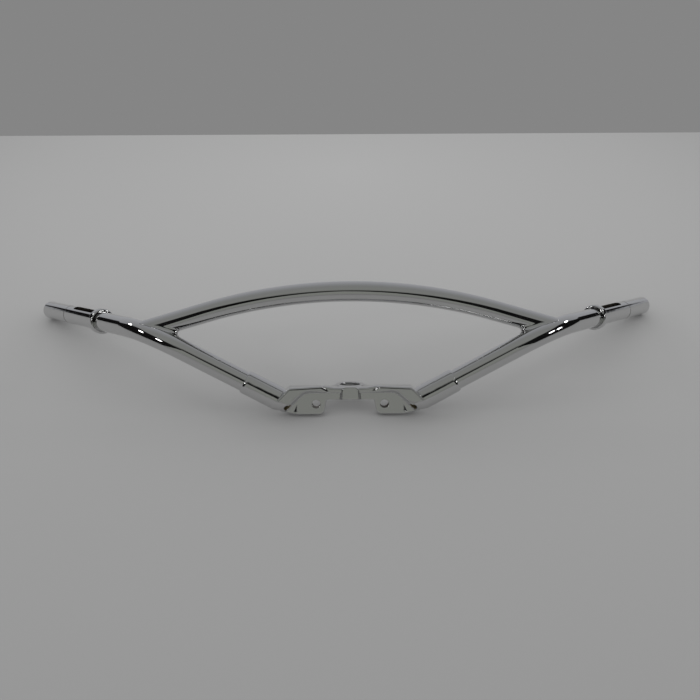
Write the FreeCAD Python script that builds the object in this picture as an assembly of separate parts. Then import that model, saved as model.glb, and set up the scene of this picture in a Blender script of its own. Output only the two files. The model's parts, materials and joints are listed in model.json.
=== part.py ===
import FreeCAD, Part
import math
import os

V = FreeCAD.Vector

# Bar tubes and crossbar. All three are drawn from the same one-inch tube.
TUBE_R = 12.7
TUBE_WALL = 3.0
JOINT_GAP = 0.05          # brazing and welding clearance between two pieces

# Arms, in the frame of the fork: X to the side, Y to the rider, Z up the stem.
ARM_FOOT_X = 108.0        # where the arm's axis crosses the height of the stem plate
ARM_RISE = 28.5           # degrees up from the horizontal
ARM_FORWARD = 3.0         # degrees forward of the side direction
ARM_STRAIGHT = 110.0      # from the foot to the start of the bend
BEND_R = 88.9
GRIP_BACK = 51.0          # degrees back from the side direction
GRIP_RISE = 1.0
GRIP_STRAIGHT = 252.0     # from the end of the bend to the end of the bar
END_CHAMFER = 1.0

# Control slot and joint line in each grip, both measured from the end of the bar.
SLOT_WIDTH = 11.0
SLOT_OUTER = 97.0
SLOT_COLLAR_GAP = 6.0
SLOT_ROLL = 10.0          # degrees the slot leans outboard of straight up
LINE_FROM_END = 77.5
LINE_WIDTH = 1.2
LINE_DEPTH = 0.4

# Stop collar.
COLLAR_R = 16.75
COLLAR_LENGTH = 10.0
COLLAR_FROM_END = 171.0
COLLAR_BEVEL_IN = 2.2
COLLAR_BEVEL_OUT = 1.1

# Crossbar: a bow with straight tangent ends, welded on the bends of the arms.
BOW_TUBE_R = 12.5         # a hair under the arms, so that the weld can run out on them
BOW_RISE = 48.4           # of its middle over its ends
BOW_STRAIGHT = 84.0       # tangent length at each end
BOW_SEAT = 0.66           # share of the bend at which the crossbar is welded
WELD_R = 5.0

# Sockets of the forging, measured along the arm's axis from its foot.
SOCKET_MOUTH = 22.0
SOCKET_MOUTH_R = 14.75
SOCKET_LIP = 3.5
SOCKET_LIP_R = 13.4
SOCKET_FLOOR = -10.0      # the tube stands on this shoulder
SOCKET_ROOT = -16.0
SOCKET_ROOT_R = 16.1
SOCKET_NECK = -32.0
SOCKET_NECK_R = 13.7
SOCKET_TAIL = -50.0       # the round body runs on and fades out here
SOCKET_TAIL_R = 7.6
EXIT_R = 4.8              # control wires leave the bar through this hole
EXIT_MOUTH = V(78.5, -5.6, -19.5)
EXIT_RUN = 14.0           # clear run in front of the hole

# Ears of the forging.
EAR_FRONT = 3.0
EAR_BACK = 16.0
EAR_TOP = 6.5
EAR_BOTTOM = -31.5
EAR_INNER = 29.1
EAR_TAPER = 4.1           # the inner edge leans outwards by this much down to the bottom
EAR_OUTER = 88.0
EAR_OUTER_Z = -27.0
EAR_ROUND = 1.6
EAR_CROWN = 9.0           # round of the top towards the back
RAMP_FOOT_X = 27.5        # the top rises from the tongue to the ear over this ramp
RAMP_HEAD_X = 38.0
RAMP_R = 7.0
SHOULDER_X = 75.0         # and falls off again towards the socket
SHOULDER_R = 5.0
BOLT_X = 42.5
BOLT_Z = -18.4
BOLT_HOLE_R = 5.15

# Elbows between ears and sockets, with the milled pocket over each bolt pad.
ELBOW_FRONT = -15.6
ELBOW_TURN_X = 90.0       # the flat front leaves the round socket here
ELBOW_END_X = 31.0        # and has run back to this depth beside the tongue
ELBOW_END_FRONT = 1.8
ELBOW_ROUND = 2.5
POCKET_TOP = 0.4
POCKET_TURN_X = 57.9      # from here the pocket's edge runs down outwards
POCKET_ARCH_R = 16.0
POCKET_DRAFT = 0.28       # growth of the pocket's outline over its depth
POCKET_DEPTH = 22.0
LIP_X = 66.5              # the flat pad ends here, at the lip under the wire hole
LIP_HEIGHT = 3.2

# Stem tongue: a flat plate from the ears back to the eye round the fork stem.
TONGUE_TOP = 1.0
TONGUE_THICK = 11.0
TONGUE_FRONT = 7.0        # buried in the web between the ears
TONGUE_HALF = 36.0
TONGUE_ROUND = 1.6
STEM_Y = 35.0
STEM_EYE_R = 21.0
STEM_HOLE_R = 12.9
KEY_FRONT = 0.2           # raised key on the middle of the front edge
KEY_FOOT = 10.0
KEY_HEAD = 5.0

BIG = 400.0


def direction(back, rise):
    b, r = math.radians(back), math.radians(rise)
    return V(math.cos(r) * math.cos(b), math.cos(r) * math.sin(b), math.sin(r))


ARM_DIR = direction(-ARM_FORWARD, ARM_RISE)
GRIP_DIR = direction(GRIP_BACK, GRIP_RISE)
ARM_FOOT = V(ARM_FOOT_X, 0, 0)


def on_arm(s):
    return ARM_FOOT + ARM_DIR * s


def bend_frame():
    """Centre of the bend, its inward normal at the start and its full turn."""
    axis = ARM_DIR.cross(GRIP_DIR).normalize()
    inward = axis.cross(ARM_DIR).normalize()
    turn = ARM_DIR.getAngle(GRIP_DIR)
    return on_arm(ARM_STRAIGHT) + inward * BEND_R, inward, turn


def on_bend(share):
    centre, inward, turn = bend_frame()
    a = turn * share
    return centre - inward * (BEND_R * math.cos(a)) + ARM_DIR * (BEND_R * math.sin(a))


BEND_END = on_bend(1.0)
BAR_END = BEND_END + GRIP_DIR * GRIP_STRAIGHT


def from_end(s):
    return BAR_END - GRIP_DIR * s


def sweep(edges, start, way, r):
    ring = Part.Wire(Part.makeCircle(r, start, way))
    return Part.Wire(edges).makePipeShell([ring], True, False)


def bar_sweep(r):
    start = on_arm(SOCKET_FLOOR)
    turn_in = on_arm(ARM_STRAIGHT)
    edges = [
        Part.makeLine(start, turn_in),
        Part.Arc(turn_in, on_bend(0.5), BEND_END).toShape(),
        Part.makeLine(BEND_END, BAR_END),
    ]
    return sweep(edges, start, ARM_DIR, r)


def ring_cut(centre, way, width, r_in, r_out):
    outer = Part.makeCylinder(r_out, width, centre - way * (width / 2), way)
    inner = Part.makeCylinder(r_in, width, centre - way * (width / 2), way)
    return outer.cut(inner)


def slot_tool():
    """A round-ended slot, cut through the upper wall of the grip."""
    up = V(0, 0, 1)
    side = GRIP_DIR.cross(up).normalize()
    up = side.cross(GRIP_DIR).normalize()
    lean = math.radians(SLOT_ROLL)
    way = up * math.cos(lean) + side * math.sin(lean)
    r = SLOT_WIDTH / 2
    first = from_end(SLOT_OUTER + r)
    last = from_end(COLLAR_FROM_END - SLOT_COLLAR_GAP - r)
    ends = [Part.makeCylinder(r, TUBE_R * 2, p, way) for p in (first, last)]
    across = way.cross(GRIP_DIR).normalize() * r
    run = [first + across, first - across, last - across, last + across, first + across]
    middle = Part.Face(Part.makePolygon(run)).extrude(way * (TUBE_R * 2))
    return middle.fuse(ends)


def bar_tube():
    outer = bar_sweep(TUBE_R)
    tip = Part.makeCone(TUBE_R, TUBE_R - END_CHAMFER, END_CHAMFER, from_end(END_CHAMFER), GRIP_DIR)
    collar_of_air = ring_cut(from_end(END_CHAMFER / 2), GRIP_DIR, END_CHAMFER, 0.1, TUBE_R + 1)
    outer = outer.cut(collar_of_air.cut(tip))
    line = ring_cut(from_end(LINE_FROM_END), GRIP_DIR, LINE_WIDTH, TUBE_R - LINE_DEPTH, TUBE_R + 1)
    return outer.cut(line).cut(bar_sweep(TUBE_R - TUBE_WALL)).cut(slot_tool())


def collar():
    """A ring turned from a bevelled section, then set on the grip's axis."""
    bore = TUBE_R + JOINT_GAP
    section = [
        (0, bore, 0), (0, COLLAR_R - COLLAR_BEVEL_IN, 0), (COLLAR_BEVEL_IN, COLLAR_R, 0),
        (COLLAR_LENGTH - COLLAR_BEVEL_OUT, COLLAR_R, 0),
        (COLLAR_LENGTH, COLLAR_R - COLLAR_BEVEL_OUT, 0), (COLLAR_LENGTH, bore, 0),
    ]
    return turned(section, from_end(COLLAR_FROM_END + COLLAR_LENGTH), GRIP_DIR)


def turned(section, foot, way):
    """A body of revolution from (length, radius, corner round) points, set on an axis."""
    body = Part.Face(rounded(section, 0)).revolve(V(0, 0, 0), V(1, 0, 0), 360)
    body.Placement = FreeCAD.Placement(foot, FreeCAD.Rotation(V(1, 0, 0), way))
    return body


def mirrored(shape):
    return shape.mirror(V(0, 0, 0), V(1, 0, 0))


def bow_edges():
    """Right half first: a tangent from the weld to the bow, then the bow and the left tangent."""
    seat = on_bend(BOW_SEAT)
    top = V(0, 0, seat.z + BOW_RISE)
    drop = math.hypot(seat.y, BOW_RISE)
    down = V(0, seat.y / drop, -BOW_RISE / drop)
    bow_r = (seat.x ** 2 + drop ** 2 - BOW_STRAIGHT ** 2) / (2 * drop)
    half = math.atan2(seat.x, bow_r - drop) - math.atan2(BOW_STRAIGHT, bow_r)

    def on_bow(a):
        return top + V(bow_r * math.sin(a), 0, 0) + down * (bow_r * (1 - math.cos(a)))

    other = V(-seat.x, seat.y, seat.z)
    edges = [
        Part.makeLine(seat, on_bow(half)),
        Part.Arc(on_bow(half), top, on_bow(-half)).toShape(),
        Part.makeLine(on_bow(-half), other),
    ]
    return edges, seat, (on_bow(half) - seat).normalize()


def crossbar():
    """The bow with its weld fillets, coped to both arms and bored out."""
    edges, seat, way = bow_edges()
    bow = sweep(edges, seat, way, BOW_TUBE_R)
    arm = bar_sweep(TUBE_R)
    whole = bow.fuse([arm, mirrored(arm)])
    welds = [e for e in whole.Edges if isinstance(e.Curve, Part.BSplineCurve)]
    whole = whole.makeFillet(WELD_R, welds)
    air = bar_sweep(TUBE_R + JOINT_GAP)
    bow = whole.cut([air, mirrored(air), sweep(edges, seat, way, BOW_TUBE_R - TUBE_WALL)])
    return max(bow.Solids, key=lambda s: s.Volume)


def rounded(corners, y):
    """A closed wire in the plane of the ears from (x, z, radius) corners."""
    points = [V(x, y, z) for x, z, r in corners]
    edges = []
    last = None
    first = None
    n = len(corners)
    for i in range(n):
        here, r = points[i], corners[i][2]
        a = (points[i - 1] - here).normalize()
        b = (points[(i + 1) % n] - here).normalize()
        half = a.getAngle(b) / 2
        reach = r / math.tan(half)
        start, end = here + a * reach, here + b * reach
        if last is not None:
            edges.append(Part.makeLine(last, start))
        if r > 0:
            middle = here + (a + b).normalize() * (r / math.sin(half) - r)
            edges.append(Part.Arc(start, middle, end).toShape())
        first = first or start
        last = end
    edges.append(Part.makeLine(last, first))
    return Part.Wire(edges)


def plate(corners, front, back):
    return Part.Face(rounded(corners, front)).extrude(V(0, back - front, 0))


def front_and_back(body):
    """Edges of a plate that lie in its front or back face, but not on the middle plane."""
    return [e for e in body.Edges if e.BoundBox.YLength < 0.01 and e.BoundBox.XMax > 0.01]


def ear():
    """Bolt ear with its half of the web, rounded off towards the back of the top."""
    web_bottom = TONGUE_TOP - TONGUE_THICK
    outline = [
        (0, TONGUE_TOP, 0), (RAMP_FOOT_X, TONGUE_TOP, RAMP_R), (RAMP_HEAD_X, EAR_TOP, RAMP_R),
        (SHOULDER_X, EAR_TOP, SHOULDER_R), (EAR_OUTER, shoulder_height(EAR_OUTER), 4),
        (EAR_OUTER, EAR_OUTER_Z, 3), (LIP_X, EAR_BOTTOM, 20), (EAR_INNER + EAR_TAPER, EAR_BOTTOM, 7),
        (EAR_INNER, web_bottom, 3), (0, web_bottom, 0),
    ]
    body = plate(outline, EAR_FRONT, EAR_BACK)
    body = body.makeFillet(EAR_ROUND, front_and_back(body))
    section = [
        (EAR_FRONT, EAR_BOTTOM, 0), (EAR_FRONT, EAR_TOP, 0),
        (EAR_BACK, EAR_TOP, EAR_CROWN), (EAR_BACK, EAR_BOTTOM, 0),
    ]
    return body.common(along_x(section))


def along_x(section):
    """A long bar along X from (y, z, radius) corners."""
    bar = Part.Face(rounded(section, 0)).extrude(V(0, -BIG, 0))
    bar.rotate(V(0, 0, 0), V(0, 0, 1), 90)
    return bar


def upright(plan):
    """A tall prism over an outline of (x, y) corners, seen from above."""
    points = [V(x, y, -BIG / 2) for x, y in plan]
    return Part.Face(Part.makePolygon(points + points[:1])).extrude(V(0, 0, BIG))


def elbow_front(x):
    """Depth of the elbow's flat front, which runs back from the socket to the tongue."""
    share = (x - ELBOW_END_X) / (ELBOW_TURN_X - ELBOW_END_X)
    return ELBOW_END_FRONT + share * (ELBOW_FRONT - ELBOW_END_FRONT)


def elbow():
    """Block between ear and socket, with its upper front edge rounded off."""
    turn = on_socket_axis(ELBOW_TURN_X)
    outline = [
        (ELBOW_END_X, -2, 0), (RAMP_HEAD_X + 1.5, EAR_TOP, 6), (SHOULDER_X, EAR_TOP, SHOULDER_R),
        turn, on_socket_axis(70), (60, -10, 0),
    ]
    behind = EAR_FRONT + EAR_ROUND * 2
    near = ELBOW_END_X
    plan = [(near, elbow_front(near)), (BIG, elbow_front(BIG)), (BIG, behind), (near, behind)]
    body = plate(outline, -BIG, behind).common(upright(plan))

    def in_front(edge):
        return all(abs(v.Y - elbow_front(v.X)) < 0.01 for v in edge.Vertexes)

    upper = [e for e in body.Edges if in_front(e) and e.BoundBox.ZMin > turn[1] - 0.1]
    return body.makeFillet(ELBOW_ROUND, upper)


def on_socket_axis(x):
    """Sharp outline corner at x, on the axis of the socket as seen from the front."""
    return x, (x - ARM_FOOT_X) * ARM_DIR.z / ARM_DIR.x, 0


def shoulder_height(x):
    """Height of the slope that ear and elbow share, from the shoulder down to the socket's axis."""
    turn = on_socket_axis(ELBOW_TURN_X)
    return EAR_TOP + (turn[1] - EAR_TOP) * (x - SHOULDER_X) / (ELBOW_TURN_X - SHOULDER_X)


def pocket():
    """Tool for the bolt pad: arched at the top, wider to the front, with a lip left below the wire hole."""
    run = BIG / 10
    outline = [
        (0, POCKET_TOP, 0), (POCKET_TURN_X, POCKET_TOP, POCKET_ARCH_R),
        (POCKET_TURN_X + run, POCKET_TOP - run, 0), (POCKET_TURN_X + run, -BIG, 0), (0, -BIG, 0),
    ]
    floor = rounded(outline, EAR_FRONT)
    mouth = floor.scaled(1 + POCKET_DRAFT, V(BOLT_X, EAR_FRONT, BOLT_Z))
    mouth.translate(V(0, -POCKET_DEPTH, 0))
    lip_front = EAR_FRONT - LIP_HEIGHT
    lip = [(LIP_X, EAR_FRONT), (LIP_X + LIP_HEIGHT, lip_front), (BIG, lip_front), (BIG, EAR_FRONT)]
    return Part.makeLoft([floor, mouth], True, True).cut(upright(lip))


def socket():
    end = SOCKET_MOUTH + SOCKET_LIP
    section = [
        (SOCKET_TAIL, 0, 0), (SOCKET_TAIL, SOCKET_TAIL_R, 0), (SOCKET_NECK, SOCKET_NECK_R, 0),
        (SOCKET_ROOT, SOCKET_ROOT_R, 0), (SOCKET_MOUTH, SOCKET_MOUTH_R, 0),
        (end, SOCKET_LIP_R, 0), (end, 0, 0),
    ]
    return turned(section, ARM_FOOT, ARM_DIR)


def socket_bore():
    depth = SOCKET_MOUTH + SOCKET_LIP - SOCKET_FLOOR
    seat = Part.makeCylinder(TUBE_R + JOINT_GAP, depth, on_arm(SOCKET_FLOOR), ARM_DIR)
    way = (on_arm(SOCKET_FLOOR) - EXIT_MOUTH).normalize()
    start = EXIT_MOUTH - way * EXIT_RUN
    wire_hole = Part.makeCylinder(EXIT_R, (on_arm(SOCKET_FLOOR) - start).Length, start, way)
    return seat.fuse(wire_hole)


def bolt_hole():
    return Part.makeCylinder(BOLT_HOLE_R, BIG, V(BOLT_X, -BIG / 2, BOLT_Z), V(0, 1, 0))


def tongue():
    """Flat stem plate, tapering from the ears to a round eye behind them."""
    corner = V(TONGUE_HALF, TONGUE_FRONT, 0)
    to_corner = corner - V(0, STEM_Y, 0)
    a = math.atan2(to_corner.y, to_corner.x) + math.acos(STEM_EYE_R / to_corner.Length)
    touch = V(STEM_EYE_R * math.cos(a), STEM_Y + STEM_EYE_R * math.sin(a), 0)
    far = V(0, STEM_Y + STEM_EYE_R, 0)

    def other(v):
        return V(-v.x, v.y, v.z)

    edges = [
        Part.makeLine(other(corner), corner), Part.makeLine(corner, touch),
        Part.Arc(touch, far, other(touch)).toShape(), Part.makeLine(other(touch), other(corner)),
    ]
    flat = Part.Face(Part.Wire(edges)).extrude(V(0, 0, -TONGUE_THICK))
    flat = flat.makeFillet(TONGUE_ROUND, [e for e in flat.Edges if e.BoundBox.ZLength < 0.01])
    flat.translate(V(0, 0, TONGUE_TOP))
    return flat.cut(Part.makeCylinder(STEM_HOLE_R, BIG, V(0, STEM_Y, -BIG / 2)))


def key():
    low, top = TONGUE_TOP - TONGUE_THICK, TONGUE_TOP - TONGUE_ROUND
    outline = [(-KEY_FOOT, low, 0), (-KEY_HEAD, top, 2), (KEY_HEAD, top, 2), (KEY_FOOT, low, 0)]
    return plate(outline, KEY_FRONT, TONGUE_FRONT)


def forging():
    half = elbow().fuse(socket()).cut(pocket()).fuse(ear())
    body = half.fuse([mirrored(half), tongue(), key()])
    for tool in (socket_bore(), bolt_hole()):
        body = body.cut([tool, mirrored(tool)])
    return body.removeSplitter()


def rest_tilt():
    """Turn about X that sets the ear bottoms and the bar ends on one level."""
    ring = from_end(END_CHAMFER)

    def step(t):
        up = V(0, -math.sin(t), math.cos(t))
        bar = ring.dot(up) - TUBE_R * math.sqrt(1 - GRIP_DIR.dot(up) ** 2)
        ear_foot = V(0, EAR_BACK - EAR_ROUND, EAR_BOTTOM + EAR_ROUND).dot(up) - EAR_ROUND
        return bar - ear_foot

    low, high = 0.0, math.pi / 3
    for _ in range(60):
        middle = (low + high) / 2
        if step(middle) > 0:
            low = middle
        else:
            high = middle
    return math.degrees(low)


def main():
    right_bar, right_collar = bar_tube(), collar()
    nodes = {
        "center_forging": forging(),
        "right_bar_tube": right_bar,
        "left_bar_tube": mirrored(right_bar),
        "crossbar": crossbar(),
        "right_collar": right_collar,
        "left_collar": mirrored(right_collar),
    }
    tilt = rest_tilt()
    for shape in nodes.values():
        shape.rotate(V(0, 0, 0), V(1, 0, 0), -tilt)
    box = Part.makeCompound(list(nodes.values())).optimalBoundingBox(False)
    shift = V(0, -box.Center.y, -box.ZMin)
    os.makedirs("parts", exist_ok=True)
    for name, shape in nodes.items():
        shape.translate(shift)
        shape.exportStep("parts/" + name + ".step")


main()
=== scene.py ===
import json
import math

import bmesh
import bpy
from mathutils import Matrix, Vector
from mathutils.bvhtree import BVHTree


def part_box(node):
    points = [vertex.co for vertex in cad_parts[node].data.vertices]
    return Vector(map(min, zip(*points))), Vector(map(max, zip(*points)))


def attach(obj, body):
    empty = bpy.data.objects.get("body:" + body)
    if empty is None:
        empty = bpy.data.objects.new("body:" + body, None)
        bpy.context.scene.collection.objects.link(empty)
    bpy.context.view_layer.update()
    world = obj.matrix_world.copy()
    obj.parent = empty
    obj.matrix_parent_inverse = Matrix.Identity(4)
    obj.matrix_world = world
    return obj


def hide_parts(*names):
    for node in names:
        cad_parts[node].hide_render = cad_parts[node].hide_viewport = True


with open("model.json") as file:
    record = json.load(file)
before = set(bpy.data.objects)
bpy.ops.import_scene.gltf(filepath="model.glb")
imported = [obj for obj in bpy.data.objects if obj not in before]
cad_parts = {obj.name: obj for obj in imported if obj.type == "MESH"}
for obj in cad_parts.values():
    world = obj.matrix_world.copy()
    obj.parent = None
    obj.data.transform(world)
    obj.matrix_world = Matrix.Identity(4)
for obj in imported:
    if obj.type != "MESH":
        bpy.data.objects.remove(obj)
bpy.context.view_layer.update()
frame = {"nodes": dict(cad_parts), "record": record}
MM = 0.001

# Camera, fitted to the outlines in the photograph.
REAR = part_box("right_bar_tube")[1].y
CAMERA_PLACE = Vector((-0.0136, REAR - 1.1084, 0.6569))
CAMERA_TURN = (56.787, 0.0, -0.879)     # degrees
CAMERA_LENS = 44.1                      # mm
CAMERA_FRAME = 36.0                     # mm, square
CAMERA_NEAR = 0.01

# Table under the bar. Its grey grows darker with the distance from a spot behind the bar: painted light, the
# falloff of the studio light painted into the table's colour.
TABLE_BACK = REAR + 0.79
TABLE_FRONT = REAR - 3.0
TABLE_HALF = 2.6
TABLE_GREY = 0.385
TABLE_ROUGHNESS = 0.75
TABLE_SHINE = 0.15
TABLE_LIGHT_SPOT = (0.0, REAR + 0.57, 0.0)
TABLE_REACH = 2.5                       # metres from the spot to the ramp's end
TABLE_LIGHT_FADE = [(0.0, 1.10), (0.24, 0.985), (0.36, 0.88), (0.46, 0.82), (0.8, 0.62)]

# Studio that the chrome mirrors. Angles in degrees: azimuth from the camera's side, height over the horizon.
# Each row: azimuth, lower edge, upper edge and softness of the upper edge of the dark gap in the tent.
GAP_EDGES = [
    (0, 29.5, 40, 10), (10, 22, 40, 8), (18, 16, 42, 4), (24, 11, 43, 3), (38, -2, 46, 2),
    (96, -3, 45, 2), (106, -4, 39, 2), (114, -5, 31, 2), (118, -4, 20, 2), (124, -1.5, 10, 1.5),
    (128, 1, 8.5, 1), (134, 1.5, 6.2, 1), (137, 2.5, 4.5, 1), (139, 3.4, 0.5, 0.5), (180, 3.4, -2, 0.5),
]
GAP_SOFT_LOW = 0.7                      # softness of the lower edge
GAP_GREY = 0.006
# Colour of the tent from the camera's side over the top to the back.
TENT = [
    (0.0, (0.272, 0.279, 0.260)), (0.5, (0.272, 0.276, 0.272)),
    (0.75, (0.34, 0.345, 0.36)), (1.0, (0.45, 0.455, 0.48)),
]
BACKDROP_GREY = 0.235
FILL_LIGHT = 0.905                      # what lights the table, not mirrored in the chrome

# Lamps, as (azimuth, height) seen from the bar.
LAMPS = [(-113, 30), (-76, 30), (-43, 30), (109, 32), (76, 21.5), (63, 24)]
LAMP_DISTANCE = 2.2
LAMP_WIDE = 0.36
LAMP_TALL = 0.24
LAMP_POWER = 1.6

# Forging, in millimetres in the frame of the fork: X to the side, Y to the rider, Z up the stem.
FORK_TILT = 25.2155                     # degrees the fork's frame leans back at rest
FORK_PLACE = (0.0, -114.830, 34.7856)
ARM_FOOT = Vector((108.0, 0.0, 0.0))
ARM_RISE = 28.5                         # degrees
ARM_FORWARD = 3.0                       # degrees
TUBE_SEAT_R = 12.75
SOCKET_FLOOR = -10.0
SOCKET_END = 25.5
# Socket and its tapering root, as (length along the arm, radius).
SOCKET = [(-50, 7.6), (-36, 10.9), (-21, 15.1), (22, 14.75), (24.3, 14.2), (SOCKET_END, 13.4)]
# Wire hole beside each bolt pad.
EXIT_R = 4.8
EXIT_MOUTH = Vector((78.5, -5.6, -19.5))
EXIT_RUN = 14.0                         # how far the drill starts in front of the mouth
EAR_FRONT = 3.0
EAR_BACK = 16.0
EAR_TOP = 4.8
EAR_BOTTOM = -31.5
EAR_INNER = 29.1
EAR_TAPER = 4.1
EAR_OUTER = 88.0
EAR_OUTER_Z = -27.0
EAR_SIDE_R = 4.0
EAR_OUTER_R = 3.0
EAR_LOW_R = 20.0
EAR_TIP_R = 7.0
EAR_NECK_R = 3.0
EAR_ROUND = 1.6
EAR_CROWN = 9.0
RAMP_FOOT_X = 20.0
RAMP_HEAD_X = 34.0
RAMP_R = 7.0
SHOULDER_X = 75.0
SHOULDER_R = 5.0
BOLT_X = 42.5
BOLT_Z = -18.4
BOLT_HOLE_R = 5.15
ELBOW_FRONT = -17.4
ELBOW_TURN_X = 90.0
ELBOW_END_X = 24.0
ELBOW_END_Z = -2.0
ELBOW_END_FRONT = 1.4
ELBOW_HEAD_X = RAMP_HEAD_X + 1.5
ELBOW_HEAD_R = 6.0
ELBOW_UNDER_X = 70.0
ELBOW_INNER = (60.0, -10.0)
ELBOW_ROUND = 2.8                       # at 3.0 its union with the rail comes out empty
RAIL_ROUND = 2.8
ELBOW_DRAFT = 6.0                       # degrees
RAIL_BACK = EAR_FRONT + 2 * EAR_ROUND
POCKET_TOP = -4.2
POCKET_TURN_X = 56.4
POCKET_ARCH_R = 16.0
POCKET_RUN = 40.0
POCKET_DEPTH = 22.0
POCKET_LEAN = 11.0
LIP_X = 66.5
NOTCH_TOP = -19.0
NOTCH_BOTTOM = -28.0
NOTCH_RUN = 4.2
NOTCH_DEPTH = 1.6
WEB_TOP = 2.6
WEB_BOTTOM = -12.7
TONGUE_TOP = 1.4
TONGUE_THICK = 10.0
TONGUE_FRONT = 7.0
TONGUE_HALF = 36.0
TONGUE_ROUND = 1.6
STEM_Y = 26.0
STEM_EYE_R = 20.0
STEM_HOLE_R = 12.9
STEM_BOSS = 1.6
STEM_BEVEL = 0.7
STEM_ROUND = 1.2
KEY_FRONT = 0.2
KEY_HALF = 10.4
KEY_FOOT = 16.0
KEY_OVER = 0.6
KEY_CORNER = 5.0
KEY_ROUND = 1.0
OVER = 1.0                              # how far bodies and cuts run past where they end
APART = 0.05                            # keeps the faces of joined bodies from lying in one plane
FAR = 100.0
NEAR = 0.1                              # picks the points of one face
WELD = 0.002                            # joins the two halves
ARC_STEPS = 8
EDGE_STEPS = 4
ROUND_STEPS = 96
SHARP_ANGLE = 32.0                      # degrees

# Stop collars, in millimetres.
COLLAR_ROUND_IN = 2.6
COLLAR_ROUND_OUT = 1.2

# Inner faces see a face of their own piece this close in front of them.
INNER_REACH = 22 * MM
INNER_START = 0.05 * MM

# Finishes: colour, roughness, softening of edges and height of polishing marks, both in millimetres.
CHROME = (0.605, 0.607, 0.606)
FINISHES = {
    "forged_chrome": (CHROME, 0.05, 0.9, 0.14),
    "tube_chrome": (CHROME, 0.035, 0.3, 0.03),
    "collar_chrome": (CHROME, 0.035, 0.3, 0.03),
    # Bare metal inside the bores and bolt holes; its near-black colour is partly painted shade of the holes.
    "bare_bore_and_shade": ((0.10, 0.085, 0.07), 0.4, 0.2, 0.1),
    "wire_hole": ((0.36, 0.31, 0.20), 0.3, 0.4, 0.1),
}
HAZE_NOISE = {"Scale": 45.0, "Detail": 5.0}
HAZE_RANGE = (0.35, 0.75)
HAZE_GAIN = 1.8
TONE_NOISE = {"Scale": 14.0, "Detail": 2.0}
TONE_GAINS = (0.97, 1.03)
MARK_NOISE = {"Scale": 75.0, "Detail": 1.0}
BEVEL_SAMPLES = 6


class Tree:
    """Short calls for building a node tree."""

    def __init__(self, owner):
        owner.use_nodes = True
        self.nodes = owner.node_tree.nodes
        self.links = owner.node_tree.links
        self.nodes.clear()

    def add(self, kind, inputs=None, **settings):
        made = self.nodes.new("ShaderNode" + kind)
        for name, value in settings.items():
            setattr(made, name, value)
        for key, value in (inputs or {}).items():
            self.feed(made.inputs[key], value)
        return made

    def feed(self, socket, value):
        if isinstance(value, bpy.types.NodeSocket):
            self.links.new(value, socket)
        else:
            socket.default_value = value

    def math(self, operation, *values):
        made = self.add("Math", dict(enumerate(values)), operation=operation)
        return made.outputs[0]

    def ramp(self, value, stops):
        """Piecewise straight grey or colour over a value from 0 to 1."""
        made = self.add("ValToRGB", {"Fac": value})
        elements = made.color_ramp.elements
        while len(elements) > 1:
            elements.remove(elements[-1])
        for i, (place, level) in enumerate(stops):
            stop = elements[0] if i == 0 else elements.new(place)
            stop.position = place
            colour = level if isinstance(level, tuple) else (level, level, level)
            stop.color = (*colour, 1)
        return made.outputs["Color"]

    def step(self, value, low, high):
        """0 under low, 1 over high, smooth in between."""
        ends = {"Value": value, "From Min": low, "From Max": high}
        return self.add("MapRange", ends, interpolation_type="SMOOTHSTEP").outputs["Result"]

    def mix(self, share, first, second):
        made = self.add("Mix", {0: share, 6: first, 7: second}, data_type="RGBA")
        return made.outputs[2]


def camera():
    data = bpy.data.cameras.new("camera")
    data.sensor_width = CAMERA_FRAME
    data.lens = CAMERA_LENS
    data.clip_start = CAMERA_NEAR
    made = bpy.data.objects.new("camera", data)
    made.location = CAMERA_PLACE
    made.rotation_euler = [math.radians(a) for a in CAMERA_TURN]
    bpy.context.scene.collection.objects.link(made)
    bpy.context.scene.camera = made


def mesh_object(name, points, faces):
    data = bpy.data.meshes.new(name)
    data.from_pydata(points, [], faces)
    made = bpy.data.objects.new(name, data)
    bpy.context.scene.collection.objects.link(made)
    return made


def table():
    corners = [
        (-TABLE_HALF, TABLE_FRONT, 0), (TABLE_HALF, TABLE_FRONT, 0),
        (TABLE_HALF, TABLE_BACK, 0), (-TABLE_HALF, TABLE_BACK, 0),
    ]
    made = mesh_object("table", corners, [(0, 1, 2, 3)])
    material = bpy.data.materials.new("table_grey_painted_light")
    tree = Tree(material)
    place = tree.add("TexCoord").outputs["Object"]
    away = tree.add("VectorMath", {0: place, 1: TABLE_LIGHT_SPOT}, operation="DISTANCE").outputs["Value"]
    # Painted light: the table's grey fades with the distance from the lit spot behind the bar.
    grey = tree.ramp(tree.math("DIVIDE", away, TABLE_REACH), [(d, TABLE_GREY * f) for d, f in TABLE_LIGHT_FADE])
    shader = tree.add("BsdfPrincipled", {
        "Base Color": grey, "Roughness": TABLE_ROUGHNESS, "Specular IOR Level": TABLE_SHINE,
    })
    tree.add("OutputMaterial", {"Surface": shader.outputs[0]})
    made.data.materials.append(material)


def gap_share(tree, way):
    """1 inside the dark gap of the tent, 0 outside it."""
    x, y, z = tree.add("SeparateXYZ", {0: way}).outputs
    azimuth = tree.math("ABSOLUTE", tree.math("ARCTAN2", x, tree.math("MULTIPLY", y, -1.0)))
    azimuth = tree.math("DIVIDE", azimuth, math.pi)
    height = tree.math("DEGREES", tree.math("ARCSINE", z))

    def edge(column):
        stops = [(row[0] / 180, (row[column] + 90) / 180) for row in GAP_EDGES]
        return tree.math("MULTIPLY_ADD", tree.ramp(azimuth, stops), 180.0, -90.0)

    low, high, soft = edge(1), edge(2), edge(3)
    over = tree.step(height, tree.math("SUBTRACT", low, GAP_SOFT_LOW), tree.math("ADD", low, GAP_SOFT_LOW))
    past = tree.step(height, tree.math("SUBTRACT", high, soft), tree.math("ADD", high, soft))
    return tree.math("MULTIPLY", over, tree.math("SUBTRACT", 1.0, past))


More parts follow.
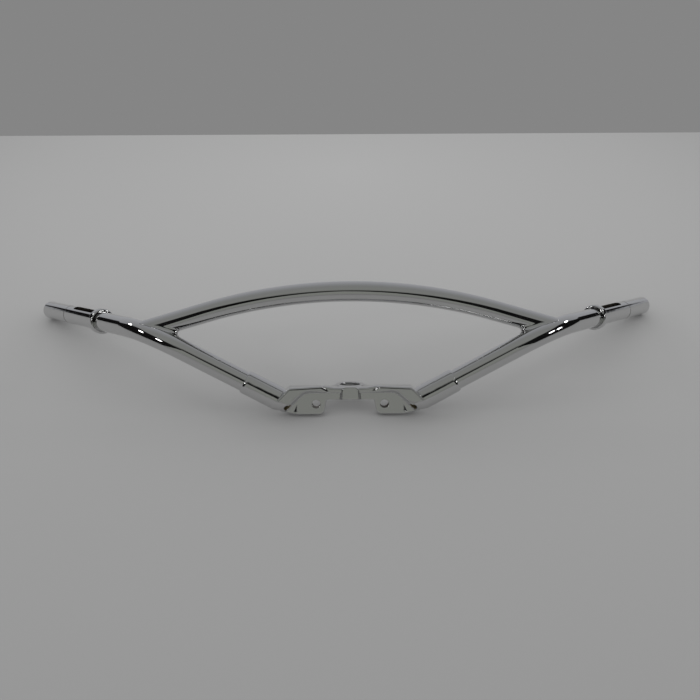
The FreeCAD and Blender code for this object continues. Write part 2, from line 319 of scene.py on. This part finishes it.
def studio():
    """Tent that the camera and the chrome see, and an even fill light for the table."""
    world = bpy.data.worlds.new("studio")
    bpy.context.scene.world = world
    tree = Tree(world)
    way = tree.add("TexCoord").outputs["Generated"]
    path = tree.add("LightPath")
    depth = tree.add("SeparateXYZ", {0: way}).outputs["Y"]
    tent = tree.ramp(tree.math("MULTIPLY_ADD", depth, 0.5, 0.5), TENT)
    level = tree.mix(gap_share(tree, way), tent, (GAP_GREY, GAP_GREY, GAP_GREY, 1))
    level = tree.mix(path.outputs["Is Camera Ray"], level, (BACKDROP_GREY, BACKDROP_GREY, BACKDROP_GREY, 1))
    seen = tree.math("MAXIMUM", path.outputs["Is Camera Ray"], path.outputs["Is Glossy Ray"])
    seen = tree.math("MAXIMUM", seen, path.outputs["Is Transmission Ray"])
    mirrored = tree.add("Background", {"Color": level, "Strength": 1.0})
    fill = tree.add("Background", {"Color": (1, 1, 1, 1), "Strength": FILL_LIGHT})
    mixed = tree.add("MixShader", {0: seen, 1: fill.outputs[0], 2: mirrored.outputs[0]})
    tree.add("OutputWorld", {"Surface": mixed.outputs[0]})


def lamps():
    for azimuth, height in LAMPS:
        a, h = math.radians(azimuth), math.radians(height)
        way = Vector((math.sin(a) * math.cos(h), -math.cos(a) * math.cos(h), math.sin(h)))
        data = bpy.data.lights.new("softbox", "AREA")
        data.shape = "ELLIPSE"
        data.size = LAMP_WIDE
        data.size_y = LAMP_TALL
        data.energy = LAMP_POWER
        made = bpy.data.objects.new("softbox", data)
        made.location = way * LAMP_DISTANCE
        made.rotation_euler = way.to_track_quat("Z", "Y").to_euler()
        bpy.context.scene.collection.objects.link(made)


def rounded(corners):
    """Outline points from (x, z, radius) corners."""
    points = []
    for i, (x, z, r) in enumerate(corners):
        here = Vector((x, z))
        if r == 0:
            points.append(here)
            continue
        a = (Vector(corners[i - 1][:2]) - here).normalized()
        b = (Vector(corners[(i + 1) % len(corners)][:2]) - here).normalized()
        half = a.angle(b) / 2
        centre = here + (a + b).normalized() * (r / math.sin(half))
        start = here + a * (r / math.tan(half)) - centre
        end = here + b * (r / math.tan(half)) - centre
        points += [centre + start.slerp(end, k / ARC_STEPS) * r for k in range(ARC_STEPS + 1)]
    return points


def loft(rings):
    """A closed body through rings of points, all with as many points, capped at both ends."""
    n = len(rings[0])
    points = [p for ring in rings for p in ring]
    faces = [tuple(range(n)), tuple(range(len(points) - n, len(points)))]
    for k in range(0, len(points) - n, n):
        faces += [(k + i, k + (i + 1) % n, k + n + (i + 1) % n, k + n + i) for i in range(n)]
    made = mesh_object("body", points, faces)
    edit(made, lambda mesh: bmesh.ops.recalc_face_normals(mesh, faces=mesh.faces))
    return made


def edit(made, change):
    mesh = bmesh.new()
    mesh.from_mesh(made.data)
    change(mesh)
    mesh.to_mesh(made.data)
    mesh.free()


def round_edges(made, radius, chosen):
    """Rounds the edges whose two ends are both chosen."""
    def change(mesh):
        edges = [e for e in mesh.edges if all(chosen(v.co) for v in e.verts)]
        bmesh.ops.bevel(
            mesh, geom=edges, offset=radius, segments=EDGE_STEPS, profile=0.5, affect="EDGES",
            clamp_overlap=False)
    edit(made, change)
    return made


def plate(corners, front, back):
    """A plate in the plane of the ears. front and back give its depth at (x, z)."""
    outline = rounded(corners)
    return loft([[Vector((p.x, depth(p.x, p.y), p.y)) for p in outline] for depth in (front, back)])


def flat_at(depth):
    """The same depth everywhere, for plate."""
    return lambda x, z: depth


def turned(section, foot, way):
    """A body of revolution from (length, radius) points on an axis."""
    turn = way.to_track_quat("Z", "Y").to_matrix()
    ring = [2 * math.pi * i / ROUND_STEPS for i in range(ROUND_STEPS)]

    def around(s, r):
        return [foot + turn @ Vector((r * math.cos(a), r * math.sin(a), s)) for a in ring]

    return loft([around(s, r) for s, r in section])


def combine(base, other, how):
    """Joins the second body to the first or cuts it away. The second one is used up."""
    change = base.modifiers.new("combine", "BOOLEAN")
    change.object = other
    change.operation = how
    change.solver = "EXACT"
    seen = base.evaluated_get(bpy.context.evaluated_depsgraph_get())
    data = bpy.data.meshes.new_from_object(seen)
    base.modifiers.clear()
    base.data = data
    bpy.data.objects.remove(other)
    return base


def arm_direction():
    b, r = math.radians(ARM_FORWARD), math.radians(ARM_RISE)
    return Vector((math.cos(r) * math.cos(b), -math.cos(r) * math.sin(b), math.sin(r)))


def on_socket_axis(x):
    """Sharp outline corner on the socket's axis at x."""
    way = arm_direction()
    return x, (x - ARM_FOOT.x) * way.z / way.x, 0


def elbow_front(x, z):
    """Depth of the elbow's flat front, which runs back from the socket to the tongue, and downwards."""
    share = (x - ELBOW_END_X) / (ELBOW_TURN_X - ELBOW_END_X)
    top = ELBOW_END_FRONT + share * (ELBOW_FRONT - ELBOW_END_FRONT)
    return top + (EAR_TOP - z) * math.tan(math.radians(ELBOW_DRAFT))


def elbow():
    """Flat elbow between the socket and the web."""
    turn = on_socket_axis(ELBOW_TURN_X)
    top = EAR_TOP + APART
    outline = [
        (ELBOW_END_X, ELBOW_END_Z, 0), (ELBOW_HEAD_X, top, ELBOW_HEAD_R), (SHOULDER_X, top, SHOULDER_R),
        turn, on_socket_axis(ELBOW_UNDER_X), (*ELBOW_INNER, 0),
    ]
    made = plate(outline, elbow_front, flat_at(RAIL_BACK + APART))
    return round_edges(made, ELBOW_ROUND, lambda p: p.y < RAIL_BACK - NEAR and p.z > turn[1] - NEAR)


def web_top(drop):
    """Upper outline from the middle to the ear, lower than the ear's own by drop."""
    low, high = WEB_TOP - drop, EAR_TOP - drop
    return [(drop - OVER, low, 0), (RAMP_FOOT_X, low, RAMP_R), (RAMP_HEAD_X, high, RAMP_R)]


def rail():
    """Upper rim of the web, from the middle into the elbow."""
    far = (ELBOW_END_X + SHOULDER_X) / 2
    bottom = WEB_BOTTOM + APART
    outline = web_top(APART) + [(far, EAR_TOP - APART, 0), (far, bottom, 0), (APART - OVER, bottom, 0)]
    made = plate(outline, flat_at(ELBOW_END_FRONT), flat_at(RAIL_BACK))
    return round_edges(made, RAIL_ROUND, lambda p: p.y < RAIL_BACK - NEAR and p.z > WEB_TOP - NEAR)


def ear():
    """Bolt ear with the web, rounded along the top of its back."""
    fall = (on_socket_axis(ELBOW_TURN_X)[1] - EAR_TOP) / (ELBOW_TURN_X - SHOULDER_X)
    outline = web_top(0) + [
        (SHOULDER_X, EAR_TOP, SHOULDER_R),
        (EAR_OUTER, EAR_TOP + fall * (EAR_OUTER - SHOULDER_X), EAR_SIDE_R),
        (EAR_OUTER, EAR_OUTER_Z, EAR_OUTER_R), (LIP_X, EAR_BOTTOM, EAR_LOW_R),
        (EAR_INNER + EAR_TAPER, EAR_BOTTOM, EAR_TIP_R), (EAR_INNER, WEB_BOTTOM, EAR_NECK_R),
        (-OVER, WEB_BOTTOM, 0),
    ]
    made = plate(outline, flat_at(EAR_FRONT), flat_at(EAR_BACK))
    for depth in (EAR_FRONT, EAR_BACK):
        round_edges(made, EAR_ROUND, lambda p: abs(p.y - depth) < NEAR)
    crown = rounded([
        (-FAR, -FAR, 0), (-FAR, EAR_TOP, 0), (EAR_BACK, EAR_TOP, EAR_CROWN), (EAR_BACK, -FAR, 0),
    ])
    tool = loft([[Vector((x, p.x, p.y)) for p in crown] for x in (-FAR, FAR)])
    return combine(made, tool, "INTERSECT")


def pocket():
    """Tool for the bolt pad: arched at the top, with a wall that leans up towards the front."""
    side = POCKET_TURN_X + POCKET_RUN
    outline = rounded([
        (-2 * OVER, POCKET_TOP, 0), (POCKET_TURN_X, POCKET_TOP, POCKET_ARCH_R),
        (side, POCKET_TOP - POCKET_RUN, 0), (side, -FAR, 0), (-2 * OVER, -FAR, 0),
    ])
    floor = [Vector((p.x, EAR_FRONT, p.y)) for p in outline]
    lean = Vector((0, -POCKET_DEPTH, POCKET_LEAN))
    return loft([floor, [p + lean for p in floor]])


def notch():
    """Tool for the drop-shaped cut at the end of the bolt pad, deepest at the pad's edge."""
    def corners(deep, shallow):
        end = LIP_X + NOTCH_RUN
        places = [(LIP_X, deep, NOTCH_TOP), (LIP_X, deep, NOTCH_BOTTOM), (end, shallow, NOTCH_BOTTOM)]
        return [Vector(p) for p in places]

    front = EAR_FRONT - NOTCH_DEPTH
    return loft([corners(front, front), corners(EAR_FRONT + NOTCH_DEPTH, EAR_FRONT)])


def tongue():
    """Flat stem plate with a raised seat round the stem hole."""
    corner = Vector((TONGUE_HALF, TONGUE_FRONT))
    to_corner = corner - Vector((0, STEM_Y))
    first = math.atan2(to_corner.y, to_corner.x) + math.acos(STEM_EYE_R / to_corner.length)
    steps = ROUND_STEPS // 2
    angles = [first + (math.pi - 2 * first) * i / steps for i in range(steps + 1)]
    plan = [corner] + [Vector((STEM_EYE_R * math.cos(a), STEM_Y + STEM_EYE_R * math.sin(a))) for a in angles]
    plan.append(Vector((-TONGUE_HALF, TONGUE_FRONT)))
    low = TONGUE_TOP - TONGUE_THICK
    made = loft([[Vector((p.x, p.y, z)) for p in plan] for z in (low, TONGUE_TOP)])
    for z in (low, TONGUE_TOP):
        round_edges(made, TONGUE_ROUND, lambda p: abs(p.z - z) < NEAR)
    r = STEM_EYE_R - TONGUE_ROUND
    rim = rounded([(-STEM_BOSS, 0, 0), (-STEM_BOSS, r, 0), (STEM_BOSS, r, STEM_ROUND), (STEM_BOSS, 0, 0)])
    seat = turned([(p.x, p.y) for p in rim[1:-1]], Vector((0, STEM_Y, TONGUE_TOP)), Vector((0, 0, 1)))
    return combine(made, seat, "UNION")


def key():
    """Raised key on the web, wider at the foot than in front."""
    top = WEB_TOP + KEY_OVER
    bottom = WEB_BOTTOM + 2 * APART

    def ring(foot, y):
        corners = [
            (-foot, bottom, 0), (-KEY_HALF, top, KEY_CORNER), (KEY_HALF, top, KEY_CORNER), (foot, bottom, 0),
        ]
        return [Vector((p.x, y, p.y)) for p in rounded(corners)]

    made = loft([ring(KEY_HALF, KEY_FRONT), ring(KEY_FOOT, RAIL_BACK - APART)])
    return round_edges(made, KEY_ROUND, lambda p: p.y < KEY_FRONT + NEAR)


def wire_hole():
    """Foot, direction and length of the hole that the control wires leave through."""
    inner = ARM_FOOT + arm_direction() * SOCKET_FLOOR
    way = (inner - EXIT_MOUTH).normalized()
    foot = EXIT_MOUTH - way * EXIT_RUN
    return foot, way, (inner - foot).length


def in_wire_hole(place):
    """Whether a place in the fork's frame is on the wall of a wire hole."""
    foot, way, _ = wire_hole()
    out = Vector((abs(place.x), place.y, place.z)) - foot
    return (out - way * out.dot(way)).length < EXIT_R + APART


def fork_to_row():
    """From millimetres in the fork's frame to metres in the part's frame."""
    turn = Matrix.Rotation(math.radians(-FORK_TILT), 4, "X")
    return Matrix.Scale(MM, 4) @ Matrix.Translation(FORK_PLACE) @ turn


def forging():
    """The forged centre with rounded edges, at the place of its CAD node."""
    way = arm_direction()
    body = combine(elbow(), rail(), "UNION")
    body = combine(body, turned(SOCKET, ARM_FOOT, way), "UNION")
    body = combine(body, pocket(), "DIFFERENCE")
    for piece in (ear(), tongue(), key()):
        body = combine(body, piece, "UNION")
    foot, run, length = wire_hole()
    top = TONGUE_TOP + STEM_BOSS
    flare = STEM_BEVEL + OVER
    stem = [(-FAR, STEM_HOLE_R), (top - STEM_BEVEL, STEM_HOLE_R), (top + OVER, STEM_HOLE_R + flare)]
    cuts = [
        notch(),
        turned([(SOCKET_FLOOR, TUBE_SEAT_R), (SOCKET_END + OVER, TUBE_SEAT_R)], ARM_FOOT, way),
        turned([(0, EXIT_R), (length, EXIT_R)], foot, run),
        turned([(-FAR, BOLT_HOLE_R), (FAR, BOLT_HOLE_R)], Vector((BOLT_X, 0, BOLT_Z)), Vector((0, 1, 0))),
        turned(stem, Vector((0, STEM_Y, 0)), Vector((0, 0, 1))),
    ]
    for tool in cuts:
        body = combine(body, tool, "DIFFERENCE")
    edit(body, double)
    body.name = "center_forging_rounded"
    body.data.transform(fork_to_row())
    smooth(body)
    return body


def double(mesh):
    """Cuts the body at the middle plane and doubles the right half."""
    whole = mesh.verts[:] + mesh.edges[:] + mesh.faces[:]
    bmesh.ops.bisect_plane(mesh, geom=whole, plane_co=(0, 0, 0), plane_no=(1, 0, 0), clear_inner=True)
    half = mesh.verts[:] + mesh.edges[:] + mesh.faces[:]
    copied = bmesh.ops.duplicate(mesh, geom=half)["geom"]
    for item in copied:
        if isinstance(item, bmesh.types.BMVert):
            item.co.x = -item.co.x
    bmesh.ops.reverse_faces(mesh, faces=[f for f in copied if isinstance(f, bmesh.types.BMFace)])
    bmesh.ops.remove_doubles(mesh, verts=mesh.verts, dist=WELD)


def smooth(made):
    """Smooth shading that keeps sharp edges and flat faces."""
    made.data.polygons.foreach_set("use_smooth", [True] * len(made.data.polygons))
    made.data.set_sharp_from_angle(angle=math.radians(SHARP_ANGLE))
    normals = made.modifiers.new("normals", "WEIGHTED_NORMAL")
    normals.keep_sharp = True


def collar(side):
    """Stop collar with rounded edges, at the place of its CAD node."""
    node = frame["nodes"][side + "_collar"]
    grip = next(m for m in frame["record"]["mounts"] if m["name"] == side + "_grip")
    foot, way = Vector(grip["pos_m"]), Vector(grip["axis"]).normalized()
    places = [node.matrix_world @ v.co - foot for v in node.data.vertices]
    lengths = [p.dot(way) for p in places]
    radii = [(p - way * p.dot(way)).length for p in places]
    low, high, bore, outer = min(lengths), max(lengths), min(radii), max(radii)
    inner_round, outer_round = COLLAR_ROUND_IN * MM, COLLAR_ROUND_OUT * MM
    section = rounded([
        (low, bore, 0), (low, outer, inner_round), (high, outer, outer_round), (high, bore, 0),
    ])
    turn = way.to_track_quat("Z", "Y").to_matrix()
    points, faces, n = [], [], len(section)
    for i in range(ROUND_STEPS):
        a = 2 * math.pi * i / ROUND_STEPS
        points += [foot + turn @ Vector((p.y * math.cos(a), p.y * math.sin(a), p.x)) for p in section]
        j = (i + 1) % ROUND_STEPS
        faces += [(i * n + k, i * n + (k + 1) % n, j * n + (k + 1) % n, j * n + k) for k in range(n)]
    made = mesh_object(side + "_collar_rounded", points, faces)
    edit(made, lambda mesh: bmesh.ops.recalc_face_normals(mesh, faces=mesh.faces))
    smooth(made)
    return made


def metal(name, colour, roughness, edge_round, mark_height):
    """Metal with cloudy haze, fine polishing marks and softened edges."""
    material = bpy.data.materials.new(name)
    tree = Tree(material)
    place = tree.add("TexCoord").outputs["Object"]
    haze = tree.add("TexNoise", {"Vector": place, **HAZE_NOISE}).outputs["Fac"]
    rough = tree.ramp(haze, [(HAZE_RANGE[0], roughness), (HAZE_RANGE[1], roughness * HAZE_GAIN)])
    tone = tree.add("TexNoise", {"Vector": place, **TONE_NOISE}).outputs["Fac"]
    shades = [tuple(c * gain for c in colour) for gain in TONE_GAINS]
    tint = tree.ramp(tone, [(0.0, shades[0]), (1.0, shades[1])])
    bevel = tree.add("Bevel", {"Radius": edge_round * MM}, samples=BEVEL_SAMPLES)
    marks = tree.add("TexNoise", {"Vector": place, **MARK_NOISE}).outputs["Fac"]
    bump = tree.add("Bump", {"Height": marks, "Distance": mark_height * MM, "Normal": bevel.outputs[0]})
    shader = tree.add("BsdfPrincipled", {
        "Base Color": tint, "Metallic": 1.0, "Roughness": rough, "Normal": bump.outputs[0],
    })
    tree.add("OutputMaterial", {"Surface": shader.outputs[0]})
    return material


def inner_faces(made):
    """Faces of bores and slots: they look at a face of their own piece close by."""
    data = made.data
    tree = BVHTree.FromPolygons([v.co for v in data.vertices], [p.vertices for p in data.polygons])
    for face in data.polygons:
        start = face.center + face.normal * INNER_START
        if tree.ray_cast(start, face.normal, INNER_REACH)[0] is not None:
            yield face


def paint(made, *materials):
    made.data.materials.clear()
    for material in materials:
        made.data.materials.append(material)


def dress_nodes(finishes, slots):
    """Finishes on the CAD nodes, with bare metal inside the tubes, darkened as painted shade."""
    for name, made in frame["nodes"].items():
        paint(made, finishes[slots[name]])
        if name.endswith("tube") or name == "crossbar":
            # The inner faces get the dark bare finish: bare metal with painted shade.
            made.data.materials.append(finishes["bare_bore_and_shade"])
            for face in inner_faces(made):
                face.material_index = 1


def dress_holes(made):
    """Second finish in the wire holes and third one, bare metal darkened as painted shade, in the bolt holes
    of the forging.
    """
    row_to_fork = fork_to_row().inverted()
    for face in inner_faces(made):
        if in_wire_hole(row_to_fork @ face.center):
            face.material_index = 1
        elif abs(abs(face.center.x) - BOLT_X * MM) < BOLT_HOLE_R * MM:
            face.material_index = 2


def dress():
    finishes = {name: metal(name, *values) for name, values in FINISHES.items()}
    slots = {row["node"]: row["material_slot"] for row in frame["record"]["subparts"]}
    dress_nodes(finishes, slots)
    pieces = {"center_forging": forging(), "left_collar": collar("left"), "right_collar": collar("right")}
    for name, made in pieces.items():
        paint(made, finishes[slots[name]])
        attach(made, "root")
        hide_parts(name)
    forged = pieces["center_forging"]
    forged.data.materials.append(finishes["wire_hole"])
    forged.data.materials.append(finishes["bare_bore_and_shade"])
    dress_holes(forged)


camera()
table()
studio()
lamps()
dress()
bpy.context.scene.view_settings.view_transform = "Standard"
